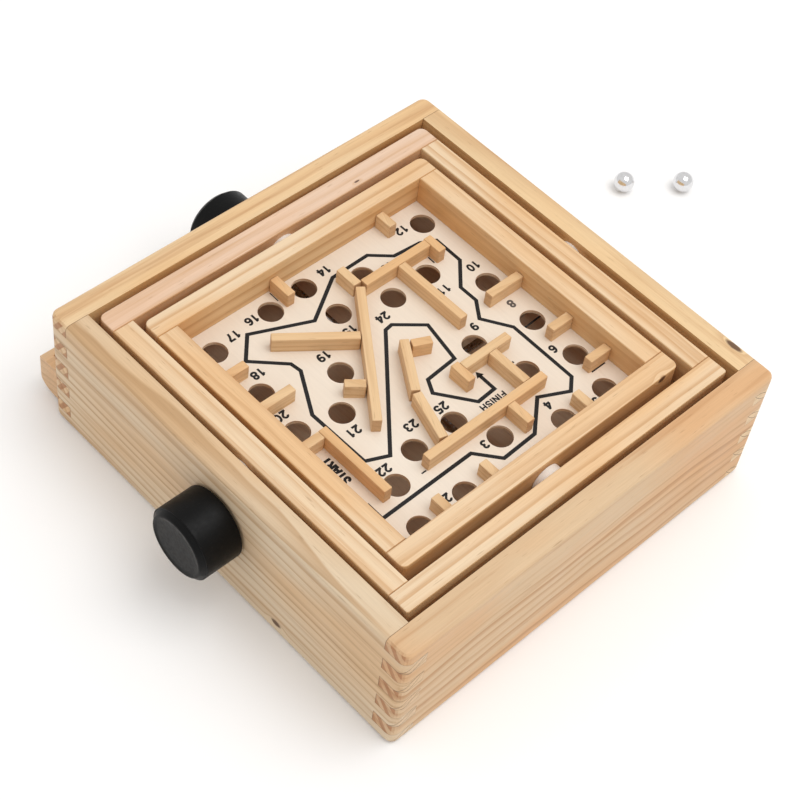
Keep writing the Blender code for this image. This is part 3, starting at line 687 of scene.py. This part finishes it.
def knob(name, axis, body):
    """A moulded knob: softened edges, a stepped shoulder, a dished face and the shaft's bore."""
    low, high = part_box(name)
    axis = Vector(axis)
    k = 0 if axis.x else 1
    across = [i for i in range(3) if i != k]
    radius = min(high[i] - low[i] for i in across) / 2
    length = high[k] - low[k]
    origin = (low + high) / 2 - axis * length / 2
    face_r = radius - KNOB_STEP
    step = length - KNOB_STEP
    rim = (step, radius - KNOB_RIM)
    profile = [(KNOB_BORE_DEPTH, 0), (KNOB_BORE_DEPTH, KNOB_BORE_R), (0, KNOB_BORE_R)]
    profile += rounded((0, KNOB_BORE_R), (0, radius), (step, radius), KNOB_BACK_ROUND)
    profile += rounded((0, radius), (step, radius), rim, KNOB_RIM_ROUND, 3)
    profile += [rim]
    profile += rounded(rim, (length, face_r - 0.1 * MM), (length, 0), KNOB_FACE_ROUND)
    profile += [(length, face_r - 1.0 * MM), (length - 0.18 * MM, face_r - 1.35 * MM),
                (length - 0.22 * MM, face_r - 3.2 * MM), (length - KNOB_DISH, 0.25 * radius),
                (length - KNOB_DISH, 0)]
    bm = turned(profile, origin, axis)
    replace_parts(as_piece(name + "_moulded", bm, BLACK, body, 28), name)


knob("right_knob", (1, 0, 0), "right_drive")
knob("front_knob", (0, -1, 0), "front_drive")


BALL = metal_material("ball_steel", (0.80, 0.80, 0.81), 0.10, bump=0.02)
BALL_STEPS = 72                 # from pole to pole
for name in ("ball_1", "ball_2"):
    low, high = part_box(name)
    radius = (high.z - low.z) / 2
    profile = [(-radius * math.cos(math.pi * n / BALL_STEPS),
                radius * math.sin(math.pi * n / BALL_STEPS)) for n in range(BALL_STEPS + 1)]
    profile[0], profile[-1] = (-radius, 0), (radius, 0)
    bm = turned(profile, (low + high) / 2, (0, 0, 1), 144)
    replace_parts(as_piece(name + "_polished", bm, BALL, name, 60), name)


# ---------------------------------------------------------------- the board's print

INK = ink_material("print_ink", linear(20, 19, 20), linear(36, 34, 34))
FAINT_INK = ink_material("print_ink_faint", linear(84, 78, 74), linear(104, 97, 92))
INK_LIFT, INK_T = 0.02, 0.03    # millimetres: the print's underside over the board, its thickness
STROKE_LIFT = 0.004             # millimetres from one stroke of a character up to the next
STROKE_W = 0.23                 # a character's stroke, in parts of its height
MITRE_LIMIT = 0.3               # keeps a sharp bend's corner from running out too far


def stroke(bm, points, width, closed=False, lift=INK_LIFT):
    """A printed line of even width through board points, as a thin closed solid."""
    pts = [Vector(p) for p in points]
    count = len(pts)
    rows = []
    for i, p in enumerate(pts):
        before = (p - pts[i - 1]).normalized() if i or closed else None
        after = (pts[(i + 1) % count] - p).normalized() if i < count - 1 or closed else None
        normals = [Vector((-d.y, d.x)) for d in (before, after) if d is not None]
        across = sum(normals, Vector((0, 0))).normalized()
        across *= width / 2 / max(across.dot(normals[0]), MITRE_LIMIT)
        rows.append([bm.verts.new(on_board(*q, z)) for q, z in
                     ((p + across, lift), (p - across, lift),
                      (p - across, lift + INK_T), (p + across, lift + INK_T))])
    for i in range(count if closed else count - 1):
        near, far = rows[i], rows[(i + 1) % count]
        for n in range(4):
            m = (n + 1) % 4
            bm.faces.new((near[n], near[m], far[m], far[n]))
    if not closed:
        bm.faces.new(rows[0])
        bm.faces.new(rows[-1])


def slab(bm, outline):
    """A printed flat shape, as a thin closed solid."""
    low = [bm.verts.new(on_board(x, y, INK_LIFT)) for x, y in outline]
    high = [bm.verts.new(on_board(x, y, INK_LIFT + INK_T)) for x, y in outline]
    bm.faces.new(low)
    bm.faces.new(high)
    for i in range(len(outline)):
        j = (i + 1) % len(outline)
        bm.faces.new((low[i], low[j], high[j], high[i]))


# The printed route from START to its arrowhead under FINISH, in millimetres from the board's middle
PATH_W = 1.6
PATH = ((56.6, 37.0), (56.6, 45.2), (11.1, 44.6), (3.1, 54.0), (-14.0, 53.3), (-27.5, 41.7),
        (-39.8, 47.8), (-45.3, 43.0), (-45.6, 11.3), (-38.0, -0.2), (-43.8, -7.9), (-43.8, -16.6),
        (-53.9, -27.3), (-54.1, -41.0), (-47.7, -44.2), (-34.4, -45.4), (-26.2, -52.3),
        (-7.2, -52.0), (13.3, -39.6), (38.2, -50.5), (47.3, -40.7), (34.8, -29.1), (34.1, -24.3),
        (44.8, -5.7), (44.2, 22.3), (35.1, 26.4), (-5.1, -19.0), (-8.8, -19.5), (-19.8, -10.6),
        (-16.1, 8.1), (-0.8, 9.2), (2.4, 15.1), (-8.3, 29.0), (-17.6, 28.4), (-17.7, 20.3))
ARROWHEAD = ((-19.5, 20.8), (-15.9, 20.8), (-17.7, 18.0))
bm = bmesh.new()
stroke(bm, PATH, PATH_W)
slab(bm, ARROWHEAD)
as_piece("board_path", bm, INK, "inner_frame")

# Short printed marks where strips were to be glued: start, end and width
STRIP_MARKS = (((-60.7, 46.5), (-53.1, 46.5), 0.55), ((29.5, 39.7), (31.8, 39.7), 0.6),
               ((-44.7, -32.6), (-44.8, -36.3), 0.6), ((17.7, -56.1), (17.6, -61.1), 0.4))
bm = bmesh.new()
for start, end, width in STRIP_MARKS:
    stroke(bm, (start, end), width)
as_piece("board_strip_marks", bm, INK, "inner_frame")


def arc(x, y, rx, ry, start, end, count=14):
    """Points of an ellipse's arc about (x, y), between two angles in degrees."""
    return [(x + rx * math.cos(math.radians(start + (end - start) * n / count)),
             y + ry * math.sin(math.radians(start + (end - start) * n / count)))
            for n in range(count + 1)]


def ring(x, y, rx, ry):
    """A whole ellipse, for a closed stroke."""
    return arc(x, y, rx, ry, 0, 345, 23)


SIX = ((ring(0.01, 0.32, 0.245, 0.225), True),
       (arc(0.045, 0.44, 0.285, 0.465, 50, 190), False))
S_CURVE = ((0.285, 0.69), (0.25, 0.80), (0.14, 0.885), (0.0, 0.905), (-0.15, 0.885), (-0.25, 0.81),
           (-0.265, 0.71), (-0.2, 0.61), (-0.05, 0.545), (0.14, 0.485), (0.26, 0.4), (0.285, 0.29),
           (0.24, 0.17), (0.12, 0.105), (-0.02, 0.095), (-0.17, 0.125), (-0.27, 0.21), (-0.3, 0.33))

# Each character: how far on the next one stands, and its strokes, in parts of the height, from
# the middle of its foot. A stroke is its points and whether it is closed.
GLYPHS = {
    "0": (0.777, ((ring(0, 0.5, 0.24, 0.405), True),)),
    "1": (0.777, ((((-0.19, 0.71), (-0.06, 0.78), (0.03, 0.90)), False),
                  (((0.07, 0.0), (0.07, 1.0)), False))),
    "2": (0.777, ((arc(0, 0.665, 0.24, 0.24, 172, -32) + [(0.02, 0.33), (-0.25, 0.09)], False),
                  (((-0.34, 0.09), (0.33, 0.09)), False))),
    "3": (0.777, ((arc(-0.01, 0.705, 0.225, 0.2, 165, -95), False),
                  (arc(-0.01, 0.3, 0.25, 0.21, 95, -165), False))),
    "4": (0.777, ((((0.12, 0.0), (0.12, 1.0)), False), (((-0.36, 0.295), (0.34, 0.295)), False),
                  (((-0.29, 0.33), (0.1, 0.93)), False))),
    "5": (0.777, ((((-0.2, 0.915), (0.3, 0.915)), False), (((-0.18, 0.95), (-0.245, 0.47)), False),
                  (arc(0.0, 0.33, 0.25, 0.235, 140, -165), False))),
    "6": (0.777, SIX),
    "7": (0.777, ((((-0.33, 0.915), (0.33, 0.915)), False),
                  (((0.26, 0.86), (0.1, 0.63), (-0.02, 0.36), (-0.08, 0.0)), False))),
    "8": (0.777, ((ring(0, 0.71, 0.21, 0.2), True), (ring(0, 0.3, 0.25, 0.21), True))),
    "9": (0.777, tuple(([(-x, 1 - y) for x, y in line], closed) for line, closed in SIX)),
    "S": (0.931, ((S_CURVE, False),)),
    "T": (0.853, ((((-0.4, 0.91), (0.4, 0.91)), False), (((0, 0), (0, 0.86)), False))),
    "A": (1.008, ((((-0.4, 0), (-0.04, 1.0)), False), (((0.4, 0), (0.04, 1.0)), False),
                  (((-0.24, 0.3), (0.24, 0.3)), False))),
    "R": (1.008, ((((-0.31, 0), (-0.31, 1)), False), (((0.05, 0.44), (0.36, 0)), False),
                  ([(-0.3, 0.91)] + arc(0.06, 0.69, 0.22, 0.22, 90, -90) + [(-0.3, 0.47)], False))),
    "F": (0.853, ((((-0.27, 0), (-0.27, 1)), False), (((-0.22, 0.915), (0.36, 0.915)), False),
                  (((-0.22, 0.53), (0.28, 0.53)), False))),
    "I": (0.388, ((((0, 0), (0, 1)), False),)),
    "N": (1.008, ((((-0.31, 0), (-0.31, 1)), False), (((0.31, 0), (0.31, 1)), False),
                  (((-0.3, 0.95), (0.3, 0.05)), False))),
    "H": (1.008, ((((-0.31, 0), (-0.31, 1)), False), (((0.31, 0), (0.31, 1)), False),
                  (((-0.28, 0.54), (0.28, 0.54)), False))),
}


def lettering(name, entries, mat):
    """Printed characters. An entry is its text, its middle on the board, the height, how wide
    the characters are drawn, and the turn in degrees."""
    bm = bmesh.new()
    for text, (x, y), height, spread, turn in entries:
        advance = [GLYPHS[c][0] * height * spread for c in text]
        pen = -sum(advance) / 2
        way = Matrix.Rotation(math.radians(turn), 2)
        for character, step in zip(text, advance):
            for n, (line, closed) in enumerate(GLYPHS[character][1]):
                points = [Vector((x, y)) + way @ Vector((pen + step / 2 + px * height * spread,
                                                         (py - 0.5) * height))
                          for px, py in line]
                stroke(bm, points, STROKE_W * height, closed, INK_LIFT + STROKE_LIFT * n)
            pen += step
    as_piece(name, bm, mat, "inner_frame")


# The number beside each hole: its middle on the board
LABELS = {1: (56.4, 56.0), 2: (31.9, 53.4), 3: (4.1, 44.9), 4: (-27.9, 47.0), 5: (-44.0, 57.4),
          6: (-49.7, 28.9), 7: (-31.6, 22.0), 8: (-53.6, 2.2), 9: (-33.5, 1.4), 10: (-55.9, -21.6),
          11: (-37.7, -19.9), 12: (-46.6, -53.8), 13: (-28.6, -42.5), 14: (-7.0, -56.8),
          15: (5.8, -27.5), 16: (31.9, -55.0), 17: (42.7, -53.3), 18: (47.6, -33.2),
          19: (22.5, -24.1), 20: (54.3, -12.4), 21: (37.9, 9.7), 22: (41.4, 29.8),
          23: (19.5, 21.2), 24: (-8.6, -24.4), 25: (4.7, 22.2)}
DIGIT_H = 4.0
FAINT = 8                       # the number whose print is worn
lettering("board_numbers",
          [(str(n), p, DIGIT_H, 1.0, 0) for n, p in LABELS.items() if n != FAINT], INK)
lettering("board_number_faint", [(str(FAINT), LABELS[FAINT], DIGIT_H, 1.0, 0)], FAINT_INK)
lettering("board_words", [("FINISH", (-13.0, 32.3), 2.9, 0.98, 0),
                          ("START", (55.6, 19.0), 4.8, 0.61, -90)], INK)


# ---------------------------------------------------------------- camera, floor and light

CAMERA_AT = Vector((CX + 356.8 * MM, CY + 290.4 * MM, 593.3 * MM))
LOOK_AT = Vector((CX + 5.1 * MM, CY + 0.5 * MM, 30 * MM))
CAMERA_ROLL = 9.1               # degrees
CAMERA_LENS = 84.2              # millimetres, on a sensor of SENSOR_W
SENSOR_W = 36.0
FLOOR_R = 4.0
FLOOR_DROP = 0.0002             # metres under the feet
WORLD_LIGHT = 0.83
KEY_AT = Vector((-0.25, 0.36, 1.25))        # from the ground under the box's middle
KEY_SIZE, KEY_POWER = 0.9, 7.0
KEY_AIM_Z = 0.03

camera = bpy.data.objects.new("camera", bpy.data.cameras.new("camera"))
scene.collection.objects.link(camera)
camera.data.lens = CAMERA_LENS
camera.data.sensor_width = SENSOR_W
camera.data.clip_start, camera.data.clip_end = 0.01, 20
aim = (LOOK_AT - CAMERA_AT).to_track_quat("-Z", "Y").to_matrix().to_4x4()
camera.matrix_world = (Matrix.Translation(CAMERA_AT) @ aim
                       @ Matrix.Rotation(math.radians(CAMERA_ROLL), 4, "Z"))
scene.camera = camera


def floor_material():
    g = Graph("floor")
    cloud = g.noise(g.place(), 2, 2)
    colour = g.mix(g.span(cloud, 0.3, 0.7), (0.955, 0.955, 0.955), (0.97, 0.97, 0.97))
    return g.finish(Base_Color=colour, Roughness=0.9)


bm = bmesh.new()
bmesh.ops.create_circle(bm, cap_ends=True, segments=96, radius=FLOOR_R)
floor_mesh = bpy.data.meshes.new("floor")
bm.to_mesh(floor_mesh)
bm.free()
floor = bpy.data.objects.new("floor", floor_mesh)
floor.location = (CX, CY, -FLOOR_DROP)
scene.collection.objects.link(floor)
floor_mesh.materials.append(floor_material())
floor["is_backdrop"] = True

world = bpy.data.worlds.new("world")
world.use_nodes = True
background = world.node_tree.nodes["Background"]
background.inputs["Color"].default_value = (1.0, 0.99, 0.98, 1)
background.inputs["Strength"].default_value = WORLD_LIGHT
scene.world = world
scene.view_settings.view_transform = "Standard"

key = bpy.data.lights.new("key", "AREA")
key.shape = "SQUARE"
key.size = KEY_SIZE
key.energy = KEY_POWER
key_light = bpy.data.objects.new("key", key)
scene.collection.objects.link(key_light)
key_light.location = Vector((CX, CY, 0)) + KEY_AT
aim = Vector((CX, CY, KEY_AIM_Z)) - key_light.location
key_light.rotation_euler = aim.to_track_quat("-Z", "Y").to_euler()

# ---------------------------------------------------------------- size: the bounds of the shown pieces

low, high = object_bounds()
